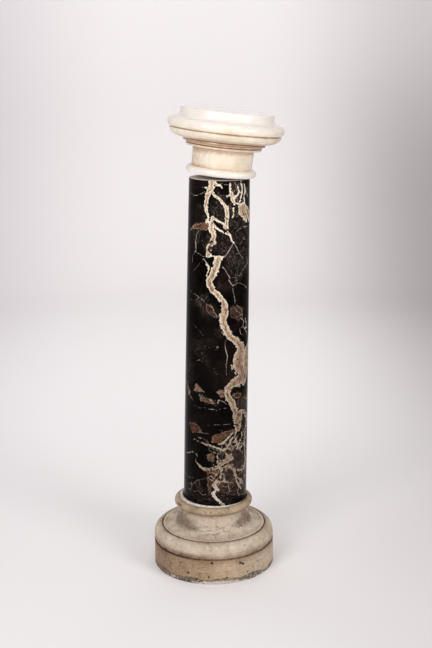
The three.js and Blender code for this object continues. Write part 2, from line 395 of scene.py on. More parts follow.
def base_profile():
    across = SCOTIA_HOLLOW - SCOTIA_NECK
    start = math.degrees(math.acos((LIP_RADIUS - FILLET_WIDTH - SCOTIA_HOLLOW) / across))
    roll = ASTRAGAL_HEIGHT / 2
    torus_start = -math.degrees(math.acos(1 - TORUS_SETBACK / TORUS_FULLNESS))
    lower_scale = TORUS_LOWER_RISE / math.sin(math.radians(-torus_start))
    return [
        (0, 0),
        (DRUM_RADIUS, 0),
        (DRUM_RADIUS, DRUM_HEIGHT),
        (DRUM_RADIUS - QUIRK_DEPTH, DRUM_HEIGHT),
        (DRUM_RADIUS - QUIRK_DEPTH, TORUS_FOOT),
        *arc(TORUS_TOP_RADIUS, TORUS_WAIST, TORUS_FULLNESS, lower_scale, torus_start, 0),
        *arc(TORUS_TOP_RADIUS, TORUS_WAIST, TORUS_FULLNESS, TORUS_UPPER_RISE, 6, 90, 24),
        (TORUS_TOP_RADIUS, TORUS_TOP - GROOVE_DEPTH),
        (LIP_RADIUS, TORUS_TOP - GROOVE_DEPTH),
        (LIP_RADIUS, LIP_HEIGHT),
        *arc(SCOTIA_HOLLOW, SCOTIA_TOP, across, SCOTIA_HEIGHT + SCOTIA_DIP, -start, -180, 40),
        (SCOTIA_NECK, ASTRAGAL_FOOT),
        *arc(ASTRAGAL_RADIUS - roll, ASTRAGAL_FOOT + roll, roll, roll, -90, 90, 24),
        (0, BASE_HEIGHT),
    ]


def shaft_profile():
    sweep_top = FOOT_BAND + FOOT_SWEEP
    return [
        (0, 0),
        (SHAFT_FOOT + FOOT_FLARE, 0),
        *arc(SHAFT_FOOT + FOOT_FLARE, sweep_top, FOOT_FLARE, FOOT_SWEEP, -90, -180, 10),
        *bow((SHAFT_FOOT, sweep_top), (SHAFT_TOP, SHAFT_LENGTH - TOP_ARRIS), ENTASIS)[1:],
        (SHAFT_TOP - TOP_ARRIS, SHAFT_LENGTH),
        (0, SHAFT_LENGTH),
    ]


NECK_TOP_HEIGHT = COLLAR_HEIGHT + NECK_HEIGHT
BEAD_FOOT = NECK_TOP_HEIGHT + NECK_SWEEP + BEAD_UNDERSIDE
BEAD_TOP = BEAD_FOOT + BEAD_HEIGHT
CAVETTO_TOP = BEAD_TOP + CAVETTO_HEIGHT
OVOLO_START = CAVETTO_TOP + CAVETTO_FILLET
OVOLO_END = OVOLO_START + OVOLO_HEIGHT
RIM_FOOT = OVOLO_END + RIM_GROOVE
RIM_WAIST = RIM_FOOT + RIM_LOWER
RIM_TOP = RIM_WAIST + RIM_UPPER
COVE_START = RIM_TOP + COVE_STEP
COVE_END = COVE_START + COVE_HEIGHT
TABLE_TOP = COVE_END + TABLE_SIDE + TABLE_EDGE


def capital_profile():
    roll = COLLAR_HEIGHT / 2
    rim_body = RIM_RADIUS - RIM_UPPER_FULLNESS
    return [
        (0, 0),
        *arc(COLLAR_RADIUS - roll, roll, roll, roll, -90, 90, 24),
        (NECK_FOOT, COLLAR_HEIGHT),
        (NECK_TOP, NECK_TOP_HEIGHT),
        *arc(NECK_TOP + NECK_SWEEP_OUT, NECK_TOP_HEIGHT, NECK_SWEEP_OUT, NECK_SWEEP, 180, 90, 6)[1:],
        (BEAD_RADIUS, BEAD_FOOT),
        (BEAD_RADIUS, BEAD_TOP),
        *arc(CAVETTO_RADIUS, BEAD_TOP, CAVETTO_RADIUS - BEAD_RADIUS - BEAD_STEP, CAVETTO_HEIGHT, 180, 90, 10),
        (CAVETTO_FILLET_RADIUS, CAVETTO_TOP),
        (CAVETTO_FILLET_RADIUS, OVOLO_START),
        *arc(OVOLO_FOOT, OVOLO_END, OVOLO_TOP - OVOLO_FOOT, OVOLO_HEIGHT, -90, 0, 24),
        (OVOLO_TOP - RIM_GROOVE_DEPTH, OVOLO_END),
        (OVOLO_TOP - RIM_GROOVE_DEPTH, RIM_FOOT),
        *arc(RIM_RADIUS - RIM_LOWER_FULLNESS, RIM_WAIST, RIM_LOWER_FULLNESS, RIM_LOWER, -90, 0, 12),
        *arc(rim_body, RIM_WAIST, RIM_UPPER_FULLNESS, RIM_UPPER, 7.5, 90, 12),
        (rim_body - COVE_STEP, COVE_START),
        *arc(COVE_FOOT, COVE_END, COVE_FOOT - TABLE_RADIUS - 1, COVE_HEIGHT, -90, -180, 10),
        (TABLE_RADIUS, COVE_END),
        (TABLE_RADIUS, COVE_END + TABLE_SIDE),
        (TABLE_RADIUS - TABLE_EDGE, TABLE_TOP),
        (0, TABLE_TOP),
    ]


class Wire:
    """A node's output. Sums, differences, products and quotients of wires make Math nodes."""

    def __init__(self, tree, socket):
        self.tree, self.socket = tree, socket

    def calc(self, operation, *others):
        values = {0: self, **dict(enumerate(others, 1))}
        return wire(self.tree, "ShaderNodeMath", values, operation=operation)

    def __add__(self, other):
        return self.calc("ADD", other)

    def __sub__(self, other):
        return self.calc("SUBTRACT", other)

    def __mul__(self, other):
        return self.calc("MULTIPLY", other)

    def __truediv__(self, other):
        return self.calc("DIVIDE", other)


def give(node, values):
    """Links a node's inputs to wires, or sets them."""
    for key, value in values.items():
        if isinstance(value, Wire):
            value.tree.links.new(value.socket, node.inputs[key])
        else:
            node.inputs[key].default_value = value
    return node


def put(tree, kind, values=None, **settings):
    """Adds a node, sets it up and gives it its inputs."""
    node = tree.nodes.new(kind)
    for key, value in settings.items():
        setattr(node, key, value)
    return give(node, values or {})


def wire(tree, kind, values=None, out=0, **settings):
    """One output of a new node."""
    return Wire(tree, put(tree, kind, values, **settings).outputs[out])


def grain(where, scale, detail=4.0, roughness=0.55, distortion=0.0):
    values = {"Vector": where, "Scale": scale, "Detail": detail, "Roughness": roughness}
    return wire(where.tree, "ShaderNodeTexNoise", {**values, "Distortion": distortion})


def stretched(where, scale, turn=(0, 0, 0)):
    return wire(where.tree, "ShaderNodeMapping", {"Vector": where, "Rotation": turn, "Scale": scale})


def between(value, low, high, start=0.0, end=1.0):
    """Runs smoothly from start to end while the value goes from low to high."""
    values = {"Value": value, "From Min": low, "From Max": high, "To Min": start, "To Max": end}
    return wire(value.tree, "ShaderNodeMapRange", values, interpolation_type="SMOOTHSTEP")


def mixed(share, a, b, **settings):
    tree = (share if isinstance(share, Wire) else a).tree
    return wire(tree, "ShaderNodeMix", {0: share, 6: a, 7: b}, 2, data_type="RGBA", **settings)


def layered(body, *layers):
    """Lays colours over one another: each layer is its share, then its colour as it looks on screen."""
    for share, *colour in layers:
        body = mixed(share, body, colour[0] if isinstance(colour[0], Wire) else rgb(*colour))
    return body


def tones(value, *stops):
    """A ramp of colours: each stop is its position, then its colour as it looks on screen."""
    ramp = put(value.tree, "ShaderNodeValToRGB", {0: value})
    while len(ramp.color_ramp.elements) < len(stops):
        ramp.color_ramp.elements.new(0.5)
    for element, (position, *colour) in zip(ramp.color_ramp.elements, stops):
        element.position, element.color = position, rgb(*colour)
    return Wire(value.tree, ramp.outputs[0])


def painted(tree, name, out="Fac"):
    """What was painted on the piece's points under this name."""
    return wire(tree, "ShaderNodeAttribute", None, out, attribute_name=name)


def cell_tone(where, scale):
    """A random number from 0 to 1 for each angular cell."""
    cells = wire(where.tree, "ShaderNodeTexVoronoi", {"Vector": where, "Scale": scale}, "Color")
    return wire(where.tree, "ShaderNodeSeparateColor", {0: cells})


def cell_edge(where, scale):
    """The distance to the nearest edge between cells, in cell sizes."""
    values = {"Vector": where, "Scale": scale}
    return wire(where.tree, "ShaderNodeTexVoronoi", values, "Distance", feature="DISTANCE_TO_EDGE")


def stone(name):
    """A new material, its tree, its shader and the coordinates on the piece, in metres."""
    material = bpy.data.materials.new(name)
    material.use_nodes = True
    tree = material.node_tree
    return material, tree, tree.nodes["Principled BSDF"], wire(tree, "ShaderNodeTexCoord", None, "Object")


def bumped(shader, height, distance, strength):
    values = {"Height": height, "Distance": distance, "Strength": strength}
    give(shader, {"Normal": wire(height.tree, "ShaderNodeBump", values)})


def rgb(*screen):
    """A colour given as it looks on screen, made linear."""
    shares = (value / 255 for value in screen)
    return (*(c / 12.92 if c <= 0.04045 else ((c + 0.055) / 1.055) ** 2.4 for c in shares), 1)


def turning_tree():
    """Geometry Nodes: turns the profile on the host mesh about +Z, with the seam at the back."""
    tree = bpy.data.node_groups.new("Turned on a lathe", "GeometryNodeTree")
    names = ("Profile", "Facets", "Waver", "Waver seed", "Stone")
    for name, kind in zip(names, ("Geometry", "Int", "Float", "Float", "Material")):
        tree.interface.new_socket(name, in_out="INPUT", socket_type="NodeSocket" + kind)
    tree.interface.new_socket("Turned", in_out="OUTPUT", socket_type="NodeSocketGeometry")
    source = put(tree, "NodeGroupInput")
    profile, facets, waver, seed, finish = (Wire(tree, source.outputs[name]) for name in names)

    rows = wire(tree, "GeometryNodeAttributeDomainSize", {"Geometry": profile}, "Point Count")
    columns = facets + 1
    sheet = wire(tree, "GeometryNodeMeshGrid", {"Vertices X": rows, "Vertices Y": columns}, "Mesh")
    index = wire(tree, "GeometryNodeInputIndex")
    row = ((index + 0.5) / columns).calc("FLOOR")
    column = index - row * columns
    values = {"Geometry": profile, "Value": wire(tree, "GeometryNodeInputPosition"), "Index": row}
    sample = wire(tree, "GeometryNodeSampleIndex", values, data_type="FLOAT_VECTOR", domain="POINT")
    split = put(tree, "ShaderNodeSeparateXYZ", {0: sample})
    radius, height = Wire(tree, split.outputs["X"]), Wire(tree, split.outputs["Z"])

    angle = (column / facets - 0.5) * (-2 * math.pi)
    across, along = angle.calc("SINE"), angle.calc("COSINE") * -1
    spot = wire(tree, "ShaderNodeCombineXYZ", {"X": across, "Y": along, "Z": height * 6})
    values = {"Vector": spot, "W": seed, "Scale": 1.7, "Detail": 2.0}
    inward = wire(tree, "ShaderNodeTexNoise", values, noise_dimensions="4D") * waver
    radius = radius - inward * radius.calc("GREATER_THAN", STILL_RADIUS * MM)
    moved = wire(tree, "ShaderNodeCombineXYZ", {"X": across * radius, "Y": along * radius, "Z": height})
    turned = wire(tree, "GeometryNodeSetPosition", {"Geometry": sheet, "Position": moved})
    closed = wire(tree, "GeometryNodeMergeByDistance", {"Geometry": turned, "Distance": 0.00001})
    real = wire(tree, "GeometryNodeRealizeInstances", {"Geometry": closed})
    finished = wire(tree, "GeometryNodeSetMaterial", {"Geometry": real, "Material": finish})
    put(tree, "NodeGroupOutput", {"Turned": finished})
    return tree


def set_inputs(modifier, **values):
    """Sets a modifier's inputs by their names, through the sockets' identifiers."""
    for item in modifier.node_group.interface.items_tree:
        key = item.name.replace(" ", "_")
        if item.item_type == "SOCKET" and item.in_out == "INPUT" and key in values:
            modifier[item.identifier] = values[key]


def turned_piece(name, profile, finish, facets, waver, seed):
    """A piece turned from its profile by the lathe tree, as a plain mesh in metres."""
    mesh = bpy.data.meshes.new(name)
    points = [(r * MM, 0, h * MM) for r, h in profile]
    mesh.from_pydata(points, [(i, i + 1) for i in range(len(points) - 1)], [])
    piece = bpy.data.objects.new(name, mesh)
    bpy.context.scene.collection.objects.link(piece)
    lathe = piece.modifiers.new("Lathe", "NODES")
    lathe.node_group = TURNING
    set_inputs(lathe, Facets=facets, Waver=waver * MM, Waver_seed=float(seed), Stone=finish)
    bpy.context.view_layer.update()
    evaluated = piece.evaluated_get(bpy.context.evaluated_depsgraph_get())
    mesh = bpy.data.meshes.new_from_object(evaluated)
    piece.modifiers.clear()
    piece.data = mesh
    mesh.name = name
    return piece


def points_of(piece):
    """The piece's points in millimetres, one row each."""
    mesh = piece.data
    flat = np.empty(len(mesh.vertices) * 3, np.float32)
    mesh.vertices.foreach_get("co", flat)
    return flat.reshape(-1, 3).astype(float) / MM


def move_points(piece, points):
    piece.data.vertices.foreach_set("co", (points * MM).astype(np.float32).ravel())
    piece.data.update()


def place(piece, lean, foot):
    """Leans a piece to the right about its foot's centre and sets it there, in its own mesh."""
    piece.data.transform(Matrix.Translation(Vector(foot) * MM) @ Matrix.Rotation(lean, 4, "Y"))
    piece.data.update()


def paint(piece, name, values):
    """Keeps one number for each point of a piece, for its material to read."""
    layer = piece.data.attributes.new(name, "FLOAT", "POINT")
    layer.data.foreach_set("value", np.asarray(values, np.float32))


def paint_colour(piece, name, colours):
    layer = piece.data.attributes.new(name, "FLOAT_COLOR", "POINT")
    layer.data.foreach_set("color", np.asarray(colours, np.float32).ravel())


def smooth(piece, sharpest=60):
    mesh = piece.data
    mesh.shade_smooth()
    mesh.set_sharp_from_angle(angle=math.radians(sharpest))


def rough(points, size, seed, octaves=3):
    """Smooth noise between about -1 and 1 at each point, with features of the given size."""
    shift = Vector((seed * 17.3, seed * 5.1, seed * 9.7))
    return np.array([noise.fractal(Vector(p) / size + shift, 0.9, 2.0, octaves) for p in points])


def around(points):
    """Degrees round from the front, positive to the right."""
    return np.degrees(np.arctan2(points[:, 0], -points[:, 1]))


def on_ring(at, radius, height):
    """The point of a ring at this angle in radians round from the front."""
    return np.array([radius * math.sin(at), -radius * math.cos(at), height])


def turn_apart(a, b):
    return (a - b + 180) % 360 - 180


def blob(turn, rise, at_turn, at_rise, turn_reach, rise_reach):
    """1 at a place on the surface, fading out smoothly with the distance from it."""
    return np.exp(-((turn_apart(turn, at_turn) / turn_reach) ** 2 + ((rise - at_rise) / rise_reach) ** 2))


def blobs(turn, rise, places):
    """The sum of soft patches: strength, degrees, height, reach in degrees and in height."""
    return sum(share * blob(turn, rise, *where) for share, *where in places)


def rings(points, lines):
    """The strongest of several rings at each point: radius, height, reach and strength."""
    found = np.zeros(len(points))
    for radius, height, reach, share in lines:
        gap = np.hypot(np.hypot(points[:, 0], points[:, 1]) - radius, points[:, 2] - height)
        found = np.maximum(found, share * np.clip(1 - gap / reach, 0, 1))
    return found


def break_off(points, at, away, depth, coarse=0.5, seed=1):
    """Breaks off what stands further out than a plane at this depth under a point.

    Returns how much went at each point."""
    away = np.array(away, float) / np.linalg.norm(away)
    at = np.array(at, float)
    lost = np.zeros(len(points))
    near = np.flatnonzero(np.linalg.norm(points - at, axis=1) < max(2 + 8 * depth, 12 * depth))
    if len(near):
        lost[near] = np.maximum((points[near] - at) @ away + depth + coarse * rough(points[near], 5, seed), 0)
        points -= np.outer(lost, away)
    return lost


def to_segment(x, y, start, end):
    """How far along a segment its nearest point lies, from 0 to 1, and the distance to it."""
    sx, sy = end[0] - start[0], end[1] - start[1]
    along = np.clip(((x - start[0]) * sx + (y - start[1]) * sy) / (sx * sx + sy * sy + 1e-9), 0, 1)
    return along, np.hypot(x - start[0] - along * sx, y - start[1] - along * sy)


def distance_to_lines(turn, rise, routes, radius, slip=None):
    """Millimetres from each surface point to the nearest line's edge, less than 0 on the line,
    and that line's half width. Lines end flat at the height of a slip in the stone."""
    per_degree = radius * math.pi / 180
    nearest = np.full(len(turn), 40.0)
    width = np.zeros(len(turn))
    for route in routes:
        heights = [h for _, h, _ in route]
        seen = np.ones(len(turn), bool)
        if slip and max(heights) - min(heights) > 2:
            seen = rise > slip if sum(heights) > slip * len(heights) else rise <= slip
        for (t0, h0, w0), (t1, h1, w1) in zip(route, route[1:]):
            end = turn_apart(t1, t0) * per_degree, h1
            along, gap = to_segment(turn_apart(turn, t0) * per_degree, rise, (0, h0), end)
            half = w0 + (w1 - w0) * along
            gap -= half
            closer = seen & (gap < nearest)
            nearest[closer], width[closer] = gap[closer], half[closer]
    return nearest, width


def distance_to_outline(turn, rise, outline, radius):
    """Millimetres from each surface point to a closed outline, less than 0 inside it."""
    per_degree = radius * math.pi / 180
    centre = sum(t for t, _ in outline) / len(outline)
    x, y = turn_apart(turn, centre) * per_degree, rise
    corners = [((t - centre) * per_degree, h) for t, h in outline]
    gap = np.full(len(turn), 1e3)
    inside = np.zeros(len(turn), bool)
    for (x0, y0), (x1, y1) in zip(corners, corners[1:] + corners[:1]):
        gap = np.minimum(gap, to_segment(x, y, (x0, y0), (x1, y1))[1])
        height = y1 - y0 if y1 != y0 else 1
        inside ^= ((y0 > y) != (y1 > y)) & (x < x0 + (y - y0) * (x1 - x0) / height)
    return np.where(inside, -gap, gap)


def wandering(chance, turn, rise, side, half, steps):
    """A vein that runs off sideways and down in small bends, and thins out."""
    heading, line = chance.uniform(0.1, 1.4), [(turn, rise, half)]
    for step in range(steps):
        heading = min(1.5, max(-0.4, heading + chance.normal(0.05, 0.55)))
        length = chance.uniform(7, 15)
        turn += side * math.cos(heading) * length / SHAFT_MM_PER_DEGREE
        rise -= math.sin(heading) * length
        if not 84 < turn < 276:
            break
        line.append((turn, rise, half * (1 - 0.85 * (step + 1) / steps)))
    return line


def branches(chance, route, odds, reach, steps, follow):
    """Veins that leave some points of a route, as wide as the reach says or as that share of its width."""
    lines = []
    for turn, rise, half in route:
        if chance.random() <= odds:
            side = 1 if turn < chance.uniform(140, 220) else -1
            width = chance.uniform(*reach) * (half if follow else 1)
            lines.append(wandering(chance, turn, rise, side, width, int(chance.integers(*steps))))
    return lines


def veins_behind(seed):
    """Bold and fine veins for the unseen side: long ones that zigzag down, and their branches."""
    chance = np.random.default_rng(seed)
    bold, fine = [], []
    for turn, high, low, width in LONG_VEINS_BEHIND:
        route, drift = [(turn, high, width)], 0
        while route[-1][1] > low:
            drift = 0.35 * drift + chance.normal(0, 8)
            turn = min(256, max(104, turn + drift))
            route.append((turn, route[-1][1] - chance.uniform(8, 20), width * chance.uniform(0.5, 1.15)))
        # A vein that ends in the stone ends thin
        for end in (0, -1):
            if 10 < route[end][1] < 770:
                for k, share in enumerate((0.25, 0.55, 0.8)):
                    k = k if end == 0 else -1 - k
                    route[k] = (*route[k][:2], route[k][2] * share)
        bold.append(route)
        bold += branches(chance, route[2:], 0.24, (0.2, 0.7), (3, 12), True)
        fine += branches(chance, route[1:], 0.34, (0.5, 0.9), (6, 14), False)
    for _ in range(12):
        turn, rise, side = chance.uniform(95, 265), chance.uniform(40, 770), chance.choice([-1, 1])
        half, steps = chance.uniform(0.4, 0.8), int(chance.integers(5, 10))
        fine.append(wandering(chance, turn, rise, side, half, steps))
    return bold, fine


def limestone_finish():
    material, tree, shader, where = stone("Limestone")
    up = wire(tree, "ShaderNodeSeparateXYZ", {0: where}, "Z")
    cloud = grain(where, 20, 6, 0.62)
    fine = grain(where, 280, 5, 0.7)
    blotch = grain(where, 75, 6, 0.68)
    beds = grain(stretched(where, (7, 7, 150)), 1, 5, 0.62, 0.6)
    drum = tones(cloud, (0.32, 121, 96, 69), (0.5, 152, 126, 97), (0.68, 177, 154, 126))
    upper = tones(cloud, (0.32, 153, 135, 114), (0.5, 187, 171, 149), (0.68, 209, 196, 177))
    ring = tones(cloud, (0.34, 136, 114, 88), (0.5, 171, 150, 121), (0.66, 193, 173, 145))
    dusty = tones(fine, (0.4, 68, 53, 40), (0.6, 140, 119, 97))
    dark = tones(fine, (0.4, 54, 43, 35), (0.54, 98, 83, 70), (0.64, 186, 173, 156))
    bare = tones(fine, (0.38, 120, 108, 98), (0.5, 204, 198, 190))
    below = between(up, 0.062, 0.058, 0.4, 1)
    swing = blotch - 0.5
    smudged_and_shaded = swing * 0.9 + painted(tree, "grime_and_shade")
    sooty = swing * 1.3 + painted(tree, "soot")
    foot = swing * 1.5 + painted(tree, "foot")
    chipped = swing * 1.4 + painted(tree, "chipped")
    scratch = blotch * 6.0 + painted(tree, "scratch")
    # Pits: the marked ones and a scatter of small ones
    cells = wire(tree, "ShaderNodeTexVoronoi", {"Vector": where, "Scale": 150.0}, "Distance")
    specks = between(cells, 0.24, 0.14) * between(grain(where, 60, 2), 0.54, 0.62)
    pits = specks.calc("MAXIMUM", between(fine * 1.6 + painted(tree, "pit"), 1.9, 0.9))
    body = layered(
        drum,
        (between(up, 0.060, 0.064), upper),
        (between(up, 0.098, 0.106, 0, 0.4), 214, 200, 182),
        (between(up, 0.147, 0.151), ring),
        (painted(tree, "bleached"), 216, 202, 182),
        (between(blotch, 0.5, 0.36, 0, 0.34), 126, 100, 76),
        (below * between(beds, 0.54, 0.66, 0, 0.42), 116, 84, 56),
        (below * between(beds, 0.45, 0.36, 0, 0.25), 214, 194, 162),
        (between(fine, 0.5, 0.72, 0, 0.45), 226, 214, 194),
        (between(fine, 0.46, 0.3, 0, 0.34), 122, 101, 80),
        # Brown dirt and painted shade round the grooves and under the astragal, painted shade almost black in
        # them
        (between(smudged_and_shaded, 0.12, 0.75, 0, 0.78), 122, 92, 68),
        (between(smudged_and_shaded, 0.72, 1.1, 0, 0.94), 62, 43, 31),
        # Soot in the hollow, and the dark and chipped foot
        (between(sooty, 0.28, 1.0, 0, 0.86), dusty),
        (between(foot, 0.4, 0.7, 0, 0.92), dark),
        (between(chipped, 0.4, 0.62, 0, 0.9), bare),
        (between(scratch, 4.6, 1.6, 0, 0.6), 112, 90, 72),
        (pits * 0.94, 44, 27, 17),
    )
    give(shader, {"Base Color": body, "Roughness": between(blotch, 0.35, 0.7, 0.5, 0.78)})
    give(shader, {"Specular IOR Level": 0.4})
    bumped(shader, pits * -2.0 + (cloud * 0.6 + (blotch + fine)), 0.0008, 0.8)
    return material


def plaster_finish():
    material, tree, shader, where = stone("Plaster")
    cloud = grain(where, 90, 6, 0.7)
    body = tones(cloud, (0.3, 172, 160, 146), (0.55, 222, 216, 206), (0.8, 240, 236, 230))
    give(shader, {"Base Color": body, "Roughness": between(cloud, 0.3, 0.7, 0.8, 0.95)})
    bumped(shader, grain(where, 400, 6, 0.75), 0.0012, 0.9)
    return material


def black_marble_finish():
    material, tree, shader, where = stone("Black marble")
    cloud = grain(where, 16, 6, 0.62, 0.8)
    fine = grain(where, 240, 5, 0.65)
    ragged = grain(where, 95, 5, 0.6)
    streak = grain(stretched(where, (1, 1, 0.3)), 330, 4, 0.6)
    trail = grain(stretched(where, (1, 1, 0.4)), 80, 4, 0.6, 1.6)
    # The cells' coordinates are bent, so that their edges aren't straight
    drift = wire(tree, "ShaderNodeTexNoise", {"Vector": where, "Scale": 34.0, "Detail": 4.0}, 1)
    bend = wire(tree, "ShaderNodeVectorMath", {0: drift, "Scale": 0.022}, operation="SCALE")
    bent = wire(tree, "ShaderNodeVectorMath", {0: where, 1: bend}, operation="ADD")
    lurch, jag = cell_tone(bent, 95), cell_tone(bent, 240)
    body = tones(cloud, (0.3, 3.29, 2.31, 1.65), (0.47, 7.25, 4.61, 3.29),
                 (0.58, 22.88, 16.52, 12.93), (0.72, 44.77, 35.23, 28.58))
    greyer_and_sheen = tones(cloud, (0.35, 17.89, 13.48, 9.88), (0.65, 38.68, 31.41, 25.46))
    # Greyer black in the marked places; high on the seen side this lift is a painted reflection
    body = mixed(painted(tree, "smoky_and_sheen") * 0.62, body, greyer_and_sheen)

    # Greyer clouds with dim, wispy lines that curl about
    smoky_and_sheen = (cloud - 0.5) * 2.2 + painted(tree, "smoky_and_sheen")
    haze = between(smoky_and_sheen, 0.3, 1.1, 0, 0.7) * between(ragged, 0.46, 0.68)
    smoke = tones(trail, (0.36, 20, 16, 14), (0.52, 44, 37, 34), (0.68, 96, 86, 80))
    body = mixed(haze, body, smoke)
    for size, strength in ((21, 0.5), (47, 0.42)):
        curl = (grain(where, size, 3, 0.5, 1.6) - 0.5).calc("ABSOLUTE")
        wisp = between(curl, 0.014, 0.0) * between(smoky_and_sheen, 0.35, 0.8, 0, strength)
        body = mixed(wisp * between(streak, 0.4, 0.6, 0.2, 1), body, rgb(150, 138, 128))

    # Broken ground near the foot: small dark fragments in a cream network
    broken = (ragged - 0.5) * 0.9 + painted(tree, "broken")
    shards = tones(cell_tone(bent, 54), (0.0, 20, 14, 11), (0.34, 60, 51, 51), (0.46, 74, 48, 36),
                   (0.58, 24, 18, 14), (0.82, 64, 56, 56), (0.93, 108, 78, 60))
    body = mixed(between(broken, 0.35, 0.55, 0, 0.9), body, shards)
    seam = (fine - 0.5) * 0.1 + cell_edge(bent, 54)
    reach = between(broken, 0.45, 1.1, 0.02, 0.1) * between(lurch, 0.1, 0.7, 0.3, 1.3)
    network = between(seam - reach, 0.02, -0.02) * between(broken, 0.42, 0.55, 0, 0.9)
    cream = tones(ragged, (0.35, 138, 110, 90), (0.5, 206, 186, 162), (0.64, 238, 228, 212))
    body = mixed(network, body, cream)
    small = (fine - 0.5) * 0.2 + cell_edge(bent, 150)
    netted = between(broken, 0.5, 0.8, 0, 0.5) * between(trail, 0.5, 0.6)
    body = mixed(netted * between(small, 0.1, 0.04), body, rgb(176, 154, 134))

    # Fragments with a tint of their own, fine lines and a thin pale edge
    edge = (jag - 0.5) * 2.8 + painted(tree, "fragment")
    thread = (grain(where, 105, 3, 0.5, 1.2) - 0.5).calc("ABSOLUTE")
    tint = layered(
        painted(tree, "fragment_tint", "Color"),
        (between(ragged, 0.36, 0.62, 0.05, 0.8), 44, 31, 25),
        (between(fine, 0.56, 0.72, 0, 0.3), 186, 158, 132),
        (between(thread, 0.012, 0.003, 0, 0.35), 196, 170, 144),
    )
    clear = between(fine, 0.4, 0.56, 0.15, 0.85) * painted(tree, "rind")
    rind = between(edge.calc("ABSOLUTE"), 1.25, 0.5) * clear
    paler = layered(tint, (0.5, 200, 174, 146))
    body = layered(body, (between(edge, 0.4, -0.4, 0, 0.92), tint), (rind, paler))

    # Fine veins, whitish grey to tan, fading in and out
    line = (fine - 0.5) * 1.9 + painted(tree, "fine_vein")
    lined = between(line, 0.5, -0.25) * between(grain(where, 44, 3), 0.32, 0.6, 0.3, 1.0)
    thin = tones(grain(where, 30, 3), (0.34, 140, 110, 90), (0.46, 160, 146, 134), (0.62, 206, 196, 182))
    body = mixed(lined, body, thin)

    # Bold veins: a ragged cream edge round a streaked tan core, pinker where they are wide
    width = painted(tree, "vein_width")
    frayed = (lurch - 0.5) * (width * 0.3 + 0.3) + (jag - 0.5) * (width * 0.26 + 1.2) + (fine - 0.5) * 4.2
    lost = between(lurch * 0.45 + (jag * 0.45 + painted(tree, "shattered") * 0.3), 0.8, 0.84)
    bold = lost * 30 + (frayed + painted(tree, "bold_vein"))
    depth = bold * -0.05
    core = tones(depth, (0.0, 196, 178, 152), (0.03, 236, 227, 210), (0.1, 224, 210, 186),
                 (0.17, 204, 184, 154), (0.34, 186, 163, 138), (0.6, 168, 142, 126))
    middle = (ragged - 0.5) * 1.6 + (painted(tree, "bold_vein") + width) / (width + 0.5)
    seamed = between(middle, 0.3, 0.08, 0, 0.8) * between(width, 1.6, 3.0)
    inner = between(depth, 0.06, 0.15) * between(width, 9, 16, 1, 0.5)
    mottle = tones(ragged, (0.4, 112, 84, 62), (0.6, 160, 128, 98))
    core = layered(
        core,
        (seamed, tones(fine, (0.4, 98, 70, 50), (0.6, 158, 124, 92))),
        (inner * between(streak, 0.54, 0.38, 0, 0.85), mottle),
        (inner * between(streak, 0.54, 0.64, 0, 0.75), 228, 214, 190),
        (painted(tree, "bright") * 0.6, 238, 234, 228),
    )
    body = mixed(between(bold, 0.35, -0.35), body, core)

    # The stone is darker and duller towards the foot
    up = wire(tree, "ShaderNodeSeparateXYZ", {0: where}, "Z")
    dull = painted(tree, "bright") * -0.55 + between(up, 0.88, 0.18)
    body = mixed(dull, body, (0.42, 0.385, 0.37, 1), blend_type="MULTIPLY")

    # The top was cut and never polished, so it is rough and pale; its pale colour is also painted light,
    # lightened against the shade under the capital
    sawn_and_painted_light = painted(tree, "sawn_and_painted_light")
    body = mixed(sawn_and_painted_light, body, tones(ragged, (0.35, 176, 166, 158), (0.65, 222, 214, 206)))
    give(shader, {"Base Color": body, "Roughness": sawn_and_painted_light * 0.6 + between(cloud, 0.3, 0.8, 0.12, 0.22)})
    give(shader, {"Specular IOR Level": 0.035})
    bumped(shader, cloud + ragged * 0.3, 0.0003, 0.25)
    return material


def white_marble_finish():
    material, tree, shader, where = stone("White marble")
    cloud = grain(where, 20, 6, 0.6, 0.6)
    fine = grain(where, 230, 5, 0.65)
    blotch = grain(where, 70, 6, 0.68)
    lines = grain(stretched(where, (6, 6, 230), (0, -CAPITAL_TILT, 0)), 1, 4, 0.6)
    pale = tones(cloud, (0.3, 234, 225, 215), (0.6, 242, 235, 228))
    warm = tones(cloud, (0.3, 219, 204, 178), (0.5, 235, 223, 203), (0.7, 244, 236, 222))
    side = painted(tree, "turned_side")
    smudged_and_shaded = (blotch - 0.5) * 0.7 + painted(tree, "grime_and_shade")
    fresh = between(fine * 0.3 + painted(tree, "fresh"), 0.25, 0.5)
    body = layered(
        pale,
        (painted(tree, "cream"), warm),
        (between(lines, 0.56, 0.7, 0, 0.22) * side, 206, 192, 176),
        (between(lines, 0.44, 0.34, 0, 0.5) * side, 244, 240, 235),
        (between(blotch, 0.42, 0.3, 0, 0.3), 204, 182, 152),
        # Tan dirt and painted shade about the small mouldings, dark brown painted shade in their corners
        (between(smudged_and_shaded, 0.08, 0.7, 0, 0.78), 188, 146, 102),
        (between(smudged_and_shaded, 0.64, 1.02, 0, 0.92), 106, 66, 38),
        (fresh, 244, 241, 237),
    )
    give(shader, {"Base Color": body, "Roughness": fresh * 0.4 + between(blotch, 0.35, 0.65, 0.08, 0.18)})
    give(shader, {"Specular IOR Level": 0.55})
    bumped(shader, (fine * 0.12 + (lines * 0.7 + cloud)) * side, 0.0003, 0.4)
    return material


